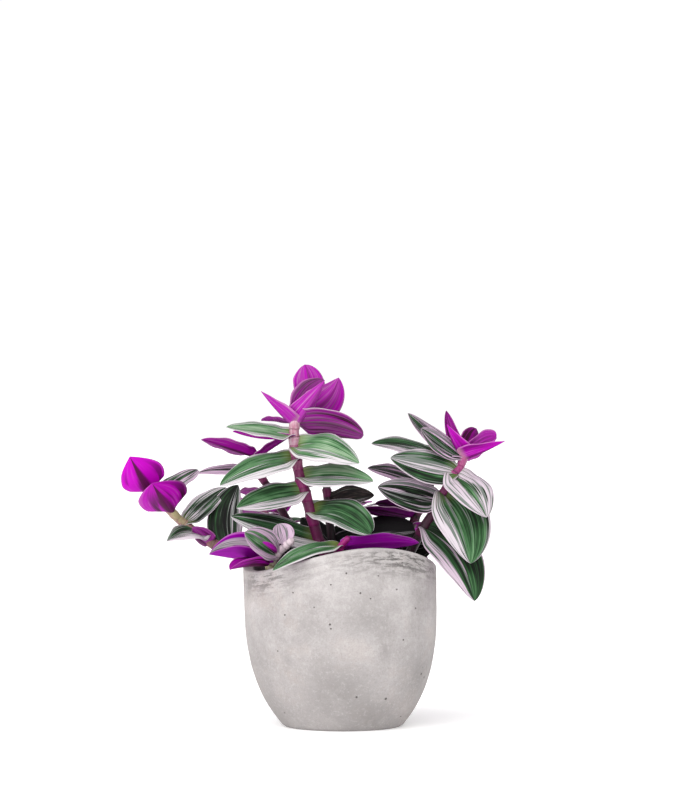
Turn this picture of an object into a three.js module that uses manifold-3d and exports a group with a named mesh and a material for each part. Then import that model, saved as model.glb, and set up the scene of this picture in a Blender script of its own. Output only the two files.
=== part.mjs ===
// A tradescantia in a concrete pot: the pot, its soil, and trailing leafy stems with young crowns.
// Millimetres. Z is up, the front of the plant faces -Y, and the origin is the middle of the pot's base.
import * as THREE from "three";
import { mergeVertices } from "three/addons/utils/BufferGeometryUtils.js";
import Module from "manifold-3d";

const wasm = await Module();
wasm.setup();

// ---- driving dimensions -------------------------------------------------------------------------

const CLEARANCE = 0.3; // between pieces that rest in or on one another
const DETAIL = 0.2; // edges shorter than this are left out of the finished solids
const TURN_STEPS = 32; // facets round the pot and the soil

const POT_RADIUS = 70.3;
const POT_FOOT_RADIUS = 43;
const POT_FOOT_ROUND = 1.5;
const POT_SHOULDER = 113; // height where the body has reached its full radius
const POT_SWELL = 3.6; // how quickly the body swells from the foot
const POT_WALL = 8;
const POT_FLOOR = 10;
const POT_LEVELS = [POT_FOOT_ROUND, 8, 19, 34, 54, 84, 108]; // heights of the body's facets
const POT_LEAN = -0.0195; // sideways drift of the hand-cast body for each millimetre of height
const RIM_MIDDLE = 122.5;
const RIM_WAVE = 9; // the rim rises and falls twice in a turn
const RIM_TURN = THREE.MathUtils.degToRad(68);
const RIM_ROUND = 1.6;

const SOIL_EDGE = 100;
const SOIL_MOUND = 4;
const INNER_LEVELS = [POT_FLOOR, 22, 48, SOIL_EDGE]; // heights of the facets inside the pot
const SOIL_STEPS = [[0.85, 0.4], [0.5, 0.8], [0.15, 1]]; // shares of its radius and of its mound
const ROOT_DEPTH = 88; // height of the buried end of each stem
const HOLE_SIDES = 12;

const STEM_SIDES = 6;
const STEM_STEPS = 8;
const CROWN_STEPS = 3;
const STEM_TAPER = 0.78; // radius of a stem's end against that at the soil
const ROOT_RUN = 6; // a stem leaves the soil upright for this far

const BLADE_THICKNESS = 0.9;
const BLADE_STEPS = 5;
const BLADE_STRIPS = 4;
const BLADE_TIP = 0.5; // half-width of a leaf's blunt tip
const BLADE_ROOT = 0.05; // a leaf's outline is wide at its root, rises from there ...
const BLADE_RISE = 0.55; // ... by this power of the length,
const BLADE_FALL = 0.72; // and falls to the tip by this power of what is left
const BLADE_FOLD = 15; // degrees that each half of a leaf rises from its midrib
const BLADE_CURL = -25; // degrees that each half bends on its way to the margin
const BASE_FOLD = 60; // fold where the leaf clasps its stem
const BASE_RUN = 0.2; // share of the leaf in which that fold opens

const COLOURS = {
  concrete: { color: 0xc6c1bd, roughness: 0.9, metalness: 0 },
  soil: { color: 0x3b2a20, roughness: 1, metalness: 0 },
  foliage: { color: 0x5f8f63, roughness: 0.5, metalness: 0 },
  crown: { color: 0xb414b4, roughness: 0.5, metalness: 0 },
};

// ---- the plant ----------------------------------------------------------------------------------

// A leaf springs from its stem at the height `at` and ends at `tip`. `face` is the way that its upper
// side looks. It may bow out of its chord towards that side, sweep sideways, fold and curl, and it
// may rise and fall by powers of its own where its outline isn't the usual one.
function leaf(at, tip, width, face, form = {}) {
  return { at, tip, width, face, ...form };
}

// Each stem is a smooth path from the soil. Its `leaves` are grown ones. Its `crown`, where it has
// one, begins at the height `crownAt` and holds the young leaves.
const STEMS = [
  {
    name: "a",
    radius: 4.4,
    path: [[-9, -6, 104], [-16, -9, 129], [-22, -12, 151], [-27, -12, 168], [-32, -12, 185],
      [-35, -12, 204], [-35, -12, 219], [-33, -8, 231]],
    leaves: [
      leaf(124, [-62, 4, 142], 24, [0, -8, 5], { bow: 2 }),
      leaf(134, [-80, -38, 153], 24, [0, -8, 6], { bow: 0.5 }),
      leaf(154, [20, -46, 141], 29, [2, -8, 6], { bow: 9, sweep: -3, fall: 0.5 }),
      leaf(170, [-76, -36, 159], 25, [0, -7, 6], { bow: 3 }),
      leaf(180, [22, -36, 178], 25, [0, -7, 7], { bow: 4, curl: -20 }),
      leaf(193, [-88, -34, 175], 27, [0, -6, 8], { bow: 5, curl: -20 }),
      leaf(202, [12, -38, 191], 29, [1, -8, 6], { bow: 8, curl: -30 }),
      leaf(209.8, [-80, -4, 214], 13, [0, 5, 8], { bow: -3.5, fold: 45, rise: 0.8 }),
      leaf(209.5, [-84, -22, 217], 22, [0, -4.5, 8], { bow: 1, curl: -10 }),
    ],
    crownAt: 215.5,
    crown: [
      leaf(219, [15, -20, 211], 28, [2, 7, 7], { bow: 5, sweep: 2, rise: 0.35, fall: 0.45 }),
      leaf(219, [-60, 16, 222], 14, [0, 5, 9], { bow: 1, fold: 25 }),
      leaf(216.5, [-59, -16, 243], 22, [6, 2, 6], { bow: -1, fold: 45, curl: 5, rise: 0.35, fall: 1 }),
      leaf(216.5, [-13, -24, 251], 25, [-3, 8, 4], { bow: -2, fold: 40, curl: 10, rise: 0.3, fall: 1 }),
      leaf(220, [-14, 2, 252], 32, [-4, 8, 3], { curl: -20, rise: 0.8, fall: 0.8 }),
      leaf(225, [-3, -8, 253], 34, [-5, 8, 3],
        { bow: -2, sweep: -7, fold: 20, curl: -30, rise: 0.7, fall: 0.85 }),
      leaf(229, [-28, 10, 263], 27, [-2, 8, 3], { sweep: -7, curl: -20, rise: 1.1, fall: 0.6 }),
    ],
  },
  {
    name: "b",
    radius: 3.6,
    path: [[-4, 14, 104], [-8, 16, 134], [-11, 19, 160], [-12, 24, 174]],
    leaves: [
      leaf(127, [-31, 36, 150], 20, [0, -8, 3]),
      leaf(124, [6, 36, 148], 22, [0, -8, 3]),
      leaf(128, [53, 4, 141], 36, [0, -6, 6], { bow: 4, fall: 0.4 }),
      leaf(155, [17, 30, 161], 15, [0, 3, 9], { bow: 5 }),
      leaf(161, [23, 16, 167], 20, [0, -7, 6], { bow: 4 }),
      leaf(171, [-30, 68, 174], 24, [-3, 3, 9], { bow: 5 }),
    ],
  },
  {
    name: "c",
    radius: 3.4,
    path: [[-23, 20, 104], [-33, 22, 130], [-43, 24, 152], [-54, 25, 171], [-62, 25, 184],
      [-66, 25, 198]],
    leaves: [
      leaf(119, [-70, 5, 132], 26, [0, -8, 4], { bow: 2 }),
      leaf(143, [-67, 40, 139], 24, [0, -5, 8], { bow: 5 }),
      leaf(168, [-77, 60, 168], 18, [0, 6, 6]),
      leaf(182, [-108, 28, 183], 15, [0, -5, 8], { bow: 4 }),
      leaf(193, [-38, 34, 211], 18, [-3, 3, 9], { fold: 35 }),
      leaf(195, [-104, 14, 208], 23, [0, 4, 9], { fold: 20, curl: -10 }),
    ],
  },
  {
    name: "d",
    radius: 3.8,
    path: [[-36, -4, 104], [-59, -10, 123], [-77, -14, 128], [-93, -14, 132], [-105, -14, 140],
      [-116, -14, 148], [-124, -18, 156], [-132, -22, 164], [-139, -26, 170]],
    leaves: [
      leaf(129, [-76, -6, 175], 27, [-2, -9, 2], { bow: 2, sweep: -6 }),
      leaf(132, [-108, -28, 145], 13, [-4, 6, 5]),
      leaf(137, [-126, -34, 135], 24, [0, -5, 8], { bow: 6, fall: 0.9 }),
      leaf(147, [-85, 0, 173], 18, [1, -7, 6], { bow: 3 }),
    ],
    crownAt: 151,
    crown: [
      leaf(154, [-135, -56, 177], 40, [-3, 6, 7],
        { bow: -2, fold: 20, curl: 10, rise: 0.75, fall: 0.95 }),
      leaf(166, [-106, 4, 186], 20, [-3, -6, 6], { sweep: -2, fall: 0.45 }),
      leaf(168, [-152, -42, 196], 36, [-3, 6, 7],
        { bow: -3, fold: 20, curl: 10, rise: 0.75, fall: 0.95 }),
    ],
  },
  {
    name: "e",
    radius: 3.3,
    path: [[-50, -29, 104], [-52, -31, 116], [-49, -35, 123], [-43, -40, 130], [-35, -44, 137]],
    leaves: [
      leaf(117.5, [-79, -76, 117], 20, [0, 1, 9], { bow: 1, fold: 60, rise: 0.8 }),
      leaf(119, [-95, -48, 126.5], 42, [0, -6, 8], { fold: 72, curl: -5, rise: 0.75 }),
    ],
    crownAt: 124,
    crown: [
      leaf(126, [-56, -76, 136], 8, [0, -5, 9], { fold: 70, curl: 30 }),
      leaf(125, [-69, -68, 143], 24, [0, -8, 2], { bow: 3, fold: 20, curl: 30, rise: 1, fall: 0.55 }),
      leaf(132, [-45, -38, 148], 18, [2, -8, 2], { fold: 25, curl: 10, rise: 0.8, fall: 0.6 }),
    ],
  },
  {
    name: "f",
    radius: 2.8,
    path: [[-8, -30, 104], [-6, -36, 120], [-3, -39, 129], [1, -41, 134.5], [5, -42, 139]],
    leaves: [
      leaf(131, [-49, -74, 116], 17, [0, -5, 9], { bow: 6.5 }),
      leaf(131.5, [55, -18, 133.5], 22, [0, 6, 7], { bow: 2 }),
    ],
  },
  {
    name: "g",
    radius: 3.8,
    path: [[40, -2, 104], [50, -6, 128], [59, -10, 145], [68, -14, 159], [73, -18, 170],
      [80, -20, 182], [85, -20, 189], [88, -20, 199]],
    leaves: [
      leaf(144, [94, -44, 93], 35, [2, -8, 5], { bow: 6, sweep: -7 }),
      leaf(163, [25, -32, 174], 26, [0, -8, 4]),
      leaf(169, [91, -50, 120], 40, [1, -9, 5], { bow: 6, sweep: -5 }),
      leaf(181, [102, -56, 153], 32, [2, -8, 6], { bow: 5, sweep: -1 }),
      leaf(184, [34, -40, 195], 27, [1, -8, 4], { bow: 1, sweep: -1 }),
    ],
    crownAt: 189,
    crown: [
      leaf(193, [116, -34, 207], 24, [-2, 3, 9], { bow: -1, fold: 50, rise: 0.3, fall: 1 }),
      leaf(193.5, [56, -33, 216], 17, [2, -8, 5], { bow: -1, rise: 0.8 }),
      leaf(195, [47, -22, 227], 17, [3, -7, 5], { bow: -4, fold: 25 }),
      leaf(195, [112, 0, 209], 24, [-1, 6, 5], { sweep: 2, fold: 20, fall: 0.5 }),
      leaf(196, [97, -8, 216], 18, [-2, 8, 4], { fold: 25, fall: 0.5 }),
      leaf(195, [75, -30, 219], 23, [5, 3, 6], { bow: -2, fold: 30, curl: 20, rise: 0.3, fall: 1 }),
      leaf(196, [75, -12, 229], 11, [3, 6, 2], { sweep: 2 }),
    ],
  },
  {
    name: "h",
    radius: 3.2,
    path: [[33, 16, 104], [42, 22, 127], [50, 26, 143], [60, 26, 163], [69, 22, 187], [72, 20, 200]],
    leaves: [
      leaf(142, [99, 58, 128], 25, [2, 2, 9], { bow: 7 }),
      leaf(150, [14, 8, 158], 18, [0, 5, 8]),
      leaf(157, [24, 30, 161], 22, [0, 5, 8]),
      leaf(165, [95, 64, 160], 25, [2, 2, 9], { bow: 6 }),
      leaf(172, [18, 8, 187], 26, [0, -5, 8], { bow: 3 }),
      leaf(184, [60, 74, 182], 22, [0, 3, 9], { bow: 5 }),
      leaf(194, [21, 4, 205], 25, [0, -5, 8], { bow: 4 }),
    ],
  },
  {
    name: "j",
    radius: 3.4,
    path: [[-26, 38, 104], [-31, 44, 122], [-37, 50, 137], [-46, 64, 146], [-56, 82, 149],
      [-62, 96, 153]],
    leaves: [
      leaf(134, [-82, 56, 128], 24, [-2, 3, 9], { bow: 7 }),
      leaf(142, [-20, 98, 140], 24, [2, 4, 8], { bow: 7 }),
      leaf(145.5, [-96, 82, 148], 24, [-2, 3, 9], { bow: 6 }),
    ],
    crownAt: 151,
    crown: [
      leaf(152, [-40, 118, 166], 22, [3, -3, 8], { bow: -3, fold: 25 }),
      leaf(152, [-84, 118, 164], 22, [3, -5, 8], { bow: -3, fold: 25 }),
    ],
  },
  {
    name: "k",
    radius: 3.2,
    path: [[22, 38, 104], [27, 46, 118], [33, 57, 127], [41, 72, 131], [49, 88, 133], [54, 98, 137]],
    leaves: [
      leaf(112, [68, 12, 130], 28, [0, -7, 5]),
      leaf(125, [64, 76, 114], 24, [3, 2, 8], { bow: 7 }),
      leaf(128, [8, 96, 124], 22, [-2, 4, 8], { bow: 6 }),
      leaf(131, [88, 84, 127], 23, [3, 3, 8], { bow: 6 }),
    ],
    crownAt: 133.3,
    crown: [
      leaf(136, [28, 118, 143], 20, [3, -3, 8], { bow: -3, fold: 25 }),
      leaf(136.3, [70, 124, 147], 20, [-3, -5, 8], { bow: -3, fold: 25 }),
    ],
  },
  {
    name: "l",
    radius: 3.2,
    path: [[-1, 46, 104], [-1, 52, 126], [0, 62, 142], [2, 76, 151], [4, 90, 154], [6, 102, 158]],
    leaves: [
      leaf(139, [34, 74, 158], 22, [0, 2, 9], { bow: 3 }),
      leaf(146, [-28, 96, 161], 24, [-2, 2, 9], { bow: 5 }),
      leaf(150, [43, 92, 160], 21, [1, 2, 9], { bow: 3 }),
    ],
    crownAt: 153.5,
    crown: [
      leaf(157, [-6, 132, 159], 20, [3, -4, 8], { bow: -2, fold: 25 }),
      leaf(157.5, [20, 134, 160], 20, [-3, -4, 8], { bow: -2, fold: 25 }),
    ],
  },
];

// ---- solids -------------------------------------------------------------------------------------

function solid(points, faces) {
  const mesh = new wasm.Mesh({
    numProp: 3,
    vertProperties: new Float32Array(points.flatMap((p) => p.toArray())),
    triVerts: new Uint32Array(faces.flat()),
  });
  return new wasm.Manifold(mesh);
}

function join(solids) {
  return solids.reduce((whole, piece) => whole.add(piece));
}

// The outer skin alone: pockets that leaf bases close off between them are filled.
function withoutPockets(shape) {
  return wasm.Manifold.compose(shape.decompose().filter((part) => part.volume() > 0));
}

function named(shape, name, material) {
  const found = withoutPockets(shape.simplify(DETAIL)).getMesh();
  let geometry = new THREE.BufferGeometry();
  geometry.setAttribute("position", new THREE.BufferAttribute(found.vertProperties, 3));
  geometry.setIndex(new THREE.BufferAttribute(found.triVerts, 1));
  geometry = mergeVertices(geometry);
  const mesh = new THREE.Mesh(geometry, new THREE.MeshStandardMaterial(material));
  mesh.name = name;
  return mesh;
}

const X_AXIS = new THREE.Vector3(1, 0, 0);
const Y_AXIS = new THREE.Vector3(0, 1, 0);
const Z_AXIS = new THREE.Vector3(0, 0, 1);

function circle(middle, across, third, radius, sides) {
  return Array.from({ length: sides }, (_, i) => {
    const angle = (2 * Math.PI * i) / sides;
    return middle.clone()
      .addScaledVector(across, radius * Math.cos(angle))
      .addScaledVector(third, radius * Math.sin(angle));
  });
}

// The faces between rings of equal length.
function wall(rings) {
  const count = rings[0].length;
  const faces = [];
  for (let i = 0; i + 1 < rings.length; i += 1) {
    for (let j = 0; j < count; j += 1) {
      const a = i * count + j;
      const b = i * count + ((j + 1) % count);
      faces.push([a, b, b + count], [a, b + count, a + count]);
    }
  }
  return faces;
}

// A closed skin over rings, each end closed by a fan to the ring's middle.
function skin(rings) {
  const count = rings[0].length;
  const points = rings.flat();
  const faces = wall(rings);
  for (const [ring, flip] of [[0, true], [rings.length - 1, false]]) {
    const middle = new THREE.Vector3();
    rings[ring].forEach((p) => middle.addScaledVector(p, 1 / count));
    const hub = points.push(middle) - 1;
    for (let j = 0; j < count; j += 1) {
      const a = ring * count + j;
      const b = ring * count + ((j + 1) % count);
      faces.push(flip ? [b, a, hub] : [a, b, hub]);
    }
  }
  return solid(points, faces);
}

// ---- pot and soil -------------------------------------------------------------------------------

function bodyRadius(z) {
  const share = Math.min(z / POT_SHOULDER, 1);
  return POT_FOOT_RADIUS + (POT_RADIUS - POT_FOOT_RADIUS) * (1 - (1 - share) ** POT_SWELL);
}

function rimHeight(angle) {
  return RIM_MIDDLE + RIM_WAVE * Math.cos(2 * (angle + RIM_TURN));
}

// One ring round the leaning axis. `height` is a number or a function of the angle.
function turnRing(radius, height) {
  return Array.from({ length: TURN_STEPS }, (_, i) => {
    const angle = (2 * Math.PI * i) / TURN_STEPS;
    const z = typeof height === "function" ? height(angle) : height;
    const shift = POT_LEAN * Math.min(z, POT_SHOULDER);
    return new THREE.Vector3(shift + radius * Math.cos(angle), radius * Math.sin(angle), z);
  });
}

const belowRim = (drop) => (angle) => rimHeight(angle) - drop;

function innerRadius(z) {
  return bodyRadius(z) - POT_WALL;
}

function pot() {
  const top = innerRadius(POT_SHOULDER);
  return skin([
    turnRing(POT_FOOT_RADIUS - POT_FOOT_ROUND, 0),
    ...POT_LEVELS.map((z) => turnRing(bodyRadius(z), z)),
    turnRing(POT_RADIUS, belowRim(RIM_ROUND)),
    turnRing(POT_RADIUS - RIM_ROUND, belowRim(0)),
    turnRing(top + RIM_ROUND, belowRim(0)),
    turnRing(top, belowRim(RIM_ROUND)),
    ...INNER_LEVELS.toReversed().map((z) => turnRing(innerRadius(z), z)),
  ]);
}

function soil() {
  const levels = [POT_FLOOR + CLEARANCE, ...INNER_LEVELS.slice(1)];
  const edge = innerRadius(SOIL_EDGE) - CLEARANCE;
  const filling = skin([
    ...levels.map((z) => turnRing(innerRadius(z) - CLEARANCE, z)),
    ...SOIL_STEPS.map(([out, up]) => turnRing(edge * out, SOIL_EDGE + SOIL_MOUND * up)),
  ]);
  const holes = STEMS.map(({ path: [[x, y]], radius }) => skin(
    [ROOT_DEPTH, SOIL_EDGE + SOIL_MOUND + CLEARANCE].map((z) => {
      const middle = new THREE.Vector3(x, y, z);
      return circle(middle, X_AXIS, Y_AXIS, radius + CLEARANCE, HOLE_SIDES);
    }),
  ));
  return filling.subtract(join(holes));
}

// ---- stems and leaves ---------------------------------------------------------------------------

function stemCurve(stem) {
  const [x, y, z] = stem.path[0];
  const points = stem.path.map((p) => new THREE.Vector3(...p));
  points.splice(1, 0, new THREE.Vector3(x, y, z + ROOT_RUN));
  return new THREE.CatmullRomCurve3(points, false, "centripetal");
}

// The share of the curve's length at which it reaches a height.
function shareAt(curve, height) {
  let low = 0;
  let high = 1;
  while (high - low > 1e-4) {
    const middle = (low + high) / 2;
    if (curve.getPointAt(middle).z < height) {
      low = middle;
    } else {
      high = middle;
    }
  }
  return low;
}

// A round rod along the curve between two shares of its length.
function rod(curve, from, to, steps, radiusAt, foot = []) {
  const stations = foot.map((point) => ({ point, share: 0, along: Z_AXIS }));
  for (let i = 0; i <= steps; i += 1) {
    const share = from + ((to - from) * i) / steps;
    stations.push({ point: curve.getPointAt(share), share, along: curve.getTangentAt(share) });
  }
  return skin(stations.map(({ point, share, along }) => {
    const across = X_AXIS.clone().projectOnPlane(along).normalize();
    const third = along.clone().cross(across);
    return circle(point, across, third, radiusAt(share), STEM_SIDES);
  }));
}

// Half-width of a leaf along its length as a share of the widest.
function outline(t, rise, fall) {
  const widest = Math.max((rise - fall * BLADE_ROOT) / (rise + fall), 0);
  const shape = (x) => (x + BLADE_ROOT) ** rise * (1 - x) ** fall;
  return shape(t) / shape(widest);
}

function ease(t) {
  const x = THREE.MathUtils.clamp(t, 0, 1);
  return x * x * (3 - 2 * x);
}

// The points across a leaf at the share t of its length, with the normals of its upper side.
function section(base, shape, t) {
  const { bow = 0, sweep = 0, fold = BLADE_FOLD, curl = BLADE_CURL } = shape;
  const { rise = BLADE_RISE, fall = BLADE_FALL } = shape;
  const tip = new THREE.Vector3(...shape.tip);
  const chord = tip.clone().sub(base).normalize();
  const up = new THREE.Vector3(...shape.face).projectOnPlane(chord).normalize();
  const side = chord.clone().cross(up);
  const bend = base.clone().add(tip).multiplyScalar(0.5)
    .addScaledVector(up, 2 * bow)
    .addScaledVector(side, 2 * sweep);
  const midrib = new THREE.QuadraticBezierCurve3(base, bend, tip);
  const centre = midrib.getPoint(t);
  const along = midrib.getTangent(t);
  const normal = up.clone().projectOnPlane(along).normalize();
  const across = along.clone().cross(normal);
  const half = Math.max((shape.width / 2) * outline(t, rise, fall), BLADE_TIP);
  const opened = BASE_FOLD + (fold - BASE_FOLD) * ease(t / BASE_RUN);
  const tilt = THREE.MathUtils.degToRad(opened);
  const turn = THREE.MathUtils.degToRad(curl);
  return Array.from({ length: BLADE_STRIPS + 1 }, (_, j) => {
    const s = (2 * j) / BLADE_STRIPS - 1;
    const angle = tilt + turn * Math.abs(s);
    const out = (Math.sin(angle) - Math.sin(tilt)) / turn;
    const lift = (Math.cos(tilt) - Math.cos(angle)) / turn;
    const way = Math.sign(s);
    return {
      point: centre.clone()
        .addScaledVector(across, half * out * way)
        .addScaledVector(normal, half * lift),
      normal: normal.clone().multiplyScalar(s === 0 ? 1 : Math.cos(angle))
        .addScaledVector(across, -way * Math.sin(angle)),
    };
  });
}

// A leaf's blade: its upper and lower faces are divided alike and joined round the margin.
function blade(base, shape) {
  const rings = Array.from({ length: BLADE_STEPS + 1 }, (_, i) => {
    const row = section(base, shape, i / BLADE_STEPS);
    const raised = (offset) => row.map(
      ({ point, normal }) => point.clone().addScaledVector(normal, offset),
    );
    return [...raised(BLADE_THICKNESS / 2), ...raised(-BLADE_THICKNESS / 2).toReversed()];
  });
  return flatSkin(rings);
}

// A closed skin over flat rings: each end is closed by a strip between the ring's two faces.
function flatSkin(rings) {
  const count = rings[0].length;
  const last = (rings.length - 1) * count;
  const faces = wall(rings);
  for (let j = 0; j + 1 < count / 2; j += 1) {
    const [a, b] = [j, j + 1];
    const [c, d] = [count - 1 - j, count - 2 - j];
    faces.push([b, a, c], [b, c, d]);
    faces.push([last + a, last + b, last + c], [last + b, last + d, last + c]);
  }
  return solid(rings.flat(), faces);
}

function leafyStem(stem) {
  const curve = stemCurve(stem);
  const radiusAt = (share) => stem.radius * (1 + (STEM_TAPER - 1) * share);
  const gap = CLEARANCE / curve.getLength();
  const parting = stem.crown ? shareAt(curve, stem.crownAt) : 1;
  const [x, y] = stem.path[0];
  const foot = [new THREE.Vector3(x, y, ROOT_DEPTH + CLEARANCE)];
  const grow = (shape) => blade(curve.getPointAt(shareAt(curve, shape.at)), shape);
  const stalk = rod(curve, 0, parting, STEM_STEPS, radiusAt, foot);
  const pieces = [named(join([stalk, ...stem.leaves.map(grow)]), `stem_${stem.name}`, COLOURS.foliage)];
  if (stem.crown) {
    const core = rod(curve, parting + gap, 1, CROWN_STEPS, radiusAt);
    pieces.push(named(join([core, ...stem.crown.map(grow)]), `crown_${stem.name}`, COLOURS.crown));
  }
  return pieces;
}

const plant = new THREE.Group();
plant.add(named(pot(), "pot", COLOURS.concrete));
plant.add(named(soil(), "soil", COLOURS.soil));
STEMS.flatMap(leafyStem).forEach((mesh) => plant.add(mesh));

export default plant;
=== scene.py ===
# The looks of a potted tradescantia: fine leaves and stems, soil, and a cast-concrete pot.
# Lengths are millimetres until a mesh is made, and the frame is that of the CAD model: Z is up,
# the front of the plant faces -Y, and the origin is the middle of the pot's base.
import math
import random

import bpy
import numpy as np
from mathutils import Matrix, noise


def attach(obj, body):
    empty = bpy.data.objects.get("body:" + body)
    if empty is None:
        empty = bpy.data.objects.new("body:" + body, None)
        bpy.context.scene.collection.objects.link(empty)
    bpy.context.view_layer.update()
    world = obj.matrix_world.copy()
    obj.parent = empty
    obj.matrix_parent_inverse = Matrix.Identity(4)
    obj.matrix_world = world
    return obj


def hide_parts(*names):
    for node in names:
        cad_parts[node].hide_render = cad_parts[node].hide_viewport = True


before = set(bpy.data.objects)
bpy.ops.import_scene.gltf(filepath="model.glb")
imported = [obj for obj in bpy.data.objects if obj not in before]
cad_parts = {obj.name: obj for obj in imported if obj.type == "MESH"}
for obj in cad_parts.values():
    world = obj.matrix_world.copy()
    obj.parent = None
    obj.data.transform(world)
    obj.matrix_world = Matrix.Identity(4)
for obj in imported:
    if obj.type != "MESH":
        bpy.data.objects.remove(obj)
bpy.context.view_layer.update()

MM = 0.001

# ---- camera, light and floor ----

CAMERA_AT = (5.25, -2000.0, 210.0)
CAMERA_PITCH = math.radians(90.77)
CAMERA_LENS = 123.4

scene = bpy.context.scene
scene.view_settings.view_transform = "Standard"

camera = bpy.data.objects.new("camera", bpy.data.cameras.new("camera"))
camera.location = [v * MM for v in CAMERA_AT]
camera.rotation_euler = (CAMERA_PITCH, 0.0, 0.0)
camera.data.lens = CAMERA_LENS
camera.data.clip_end = 200.0
scene.collection.objects.link(camera)
scene.camera = camera


def sun(name, strength, soft, azimuth, elevation, colour):
    """A soft light from a direction: azimuth 0 is the camera's side, and elevation is above the floor."""
    data = bpy.data.lights.new(name, "SUN")
    data.energy = strength
    data.angle = math.radians(soft)
    data.color = colour
    lamp = bpy.data.objects.new(name, data)
    lamp.rotation_euler = (math.radians(90 - elevation), 0.0, math.radians(azimuth))
    scene.collection.objects.link(lamp)


sun("key_light", strength=3.1, soft=90, azimuth=-30, elevation=42, colour=(1.0, 0.99, 0.985))
sun("fill_light", strength=0.5, soft=120, azimuth=40, elevation=35, colour=(1.0, 1.0, 1.0))

# ---- the pot's form ----

POT_RADIUS = 70.3
POT_FOOT_RADIUS = 43.0
POT_FOOT_ROUND = 1.5
POT_SHOULDER = 113.0
POT_SWELL = 3.6
POT_WALL = 8.0
POT_FLOOR = 10.0
POT_LEAN = -0.0195
RIM_MIDDLE = 122.5
RIM_WAVE = 9.0
RIM_TURN = math.radians(68)
RIM_ROUND = 1.6
SOIL_EDGE = 100.0
SOIL_MOUND = 4.0
CLEARANCE = 0.3

POT_TURNS = 240
POT_ROWS = 80
ROUND_STEPS = 4
INNER_EDGE = SOIL_EDGE + 6
INNER_ROWS = 24
UNEVEN = 0.28  # how far the cast face swells and sinks
UNEVEN_LUMPS = [(1.0, 26.0), (0.5, 9.0)]  # share and size of the lumps
UNEVEN_RADIUS = 70  # of the circle on which they are taken
UNEVEN_FROM = 4  # height from which they are full


def body_radius(z):
    share = np.minimum(z / POT_SHOULDER, 1.0)
    return POT_FOOT_RADIUS + (POT_RADIUS - POT_FOOT_RADIUS) * (1 - (1 - share) ** POT_SWELL)


def rim_height(angle):
    return RIM_MIDDLE + RIM_WAVE * np.cos(2 * (angle + RIM_TURN))


def on_pot(angle, z):
    """The point of the pot's outer face at an angle in degrees (front is -90) and a height."""
    a = math.radians(angle)
    r = float(body_radius(np.array(z)))
    return POT_LEAN * min(z, POT_SHOULDER) + r * math.cos(a), r * math.sin(a), z


# The larger pits in the cast face: angle, height and radius.
PITS = [
    (-95, 106, 0.7), (-86, 114, 0.8), (-78, 100, 0.9), (-72, 96, 0.7), (-55, 102, 0.8), (-67, 112, 0.6),
    (-96, 78, 1.0), (-95.5, 75, 0.7), (-80, 26, 1.0), (-58, 24, 1.2), (-28, 40, 1.1), (-22, 37, 1.0),
    (-118, 100, 0.7), (-124, 84, 0.8), (-40, 88, 0.8), (-50, 66, 0.8), (-131, 58, 0.7), (-105, 90, 0.6),
]

# Soft darker patches on the pot's face: angle, height and radius.
DARK_PATCHES = [(-91, 30, 38.0), (-74, 84, 22.0), (-34, 40, 30.0), (-66, 10, 30.0), (-160, 104, 18.0)]

# Where the streaks below the rim are dark: angle, spread and strength, over a faint trace all round.
STAINS = [(-50, 30, 1.0), (-140, 20, 0.6)]
STAIN_TRACE = 0.2


def turns_of(count):
    """The angles of points that are evenly spaced round a circle."""
    return np.linspace(0, 2 * math.pi, count, endpoint=False)


# ---- materials ----


class Value:
    """A value that a material works out at each point: the output of one of its nodes."""

    def __init__(self, look, socket):
        self.look = look
        self.socket = socket

    def __add__(self, other):
        return self.look.math("ADD", self, other)

    def __mul__(self, other):
        return self.look.math("MULTIPLY", self, other)

    def __sub__(self, other):
        return self.look.math("SUBTRACT", self, other)

    def __rsub__(self, other):
        return self.look.math("SUBTRACT", other, self)

    def __abs__(self):
        return self.look.math("ABSOLUTE", self)

    def clamp(self):
        return self.look.math("ADD", self, clamp=True)

    def sway(self, amount):
        """A pattern about 0.5 as one about 0, and so much stronger."""
        return (self - 0.5) * amount

    def step(self, low, high):
        """0 below low, 1 above high, and smooth between them."""
        made = self.look.node("ShaderNodeMapRange", interpolation_type="SMOOTHSTEP")
        for value, name in ((self, "Value"), (low, "From Min"), (high, "From Max")):
            self.look.put(value, made.inputs[name])
        return Value(self.look, made.outputs["Result"])


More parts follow.
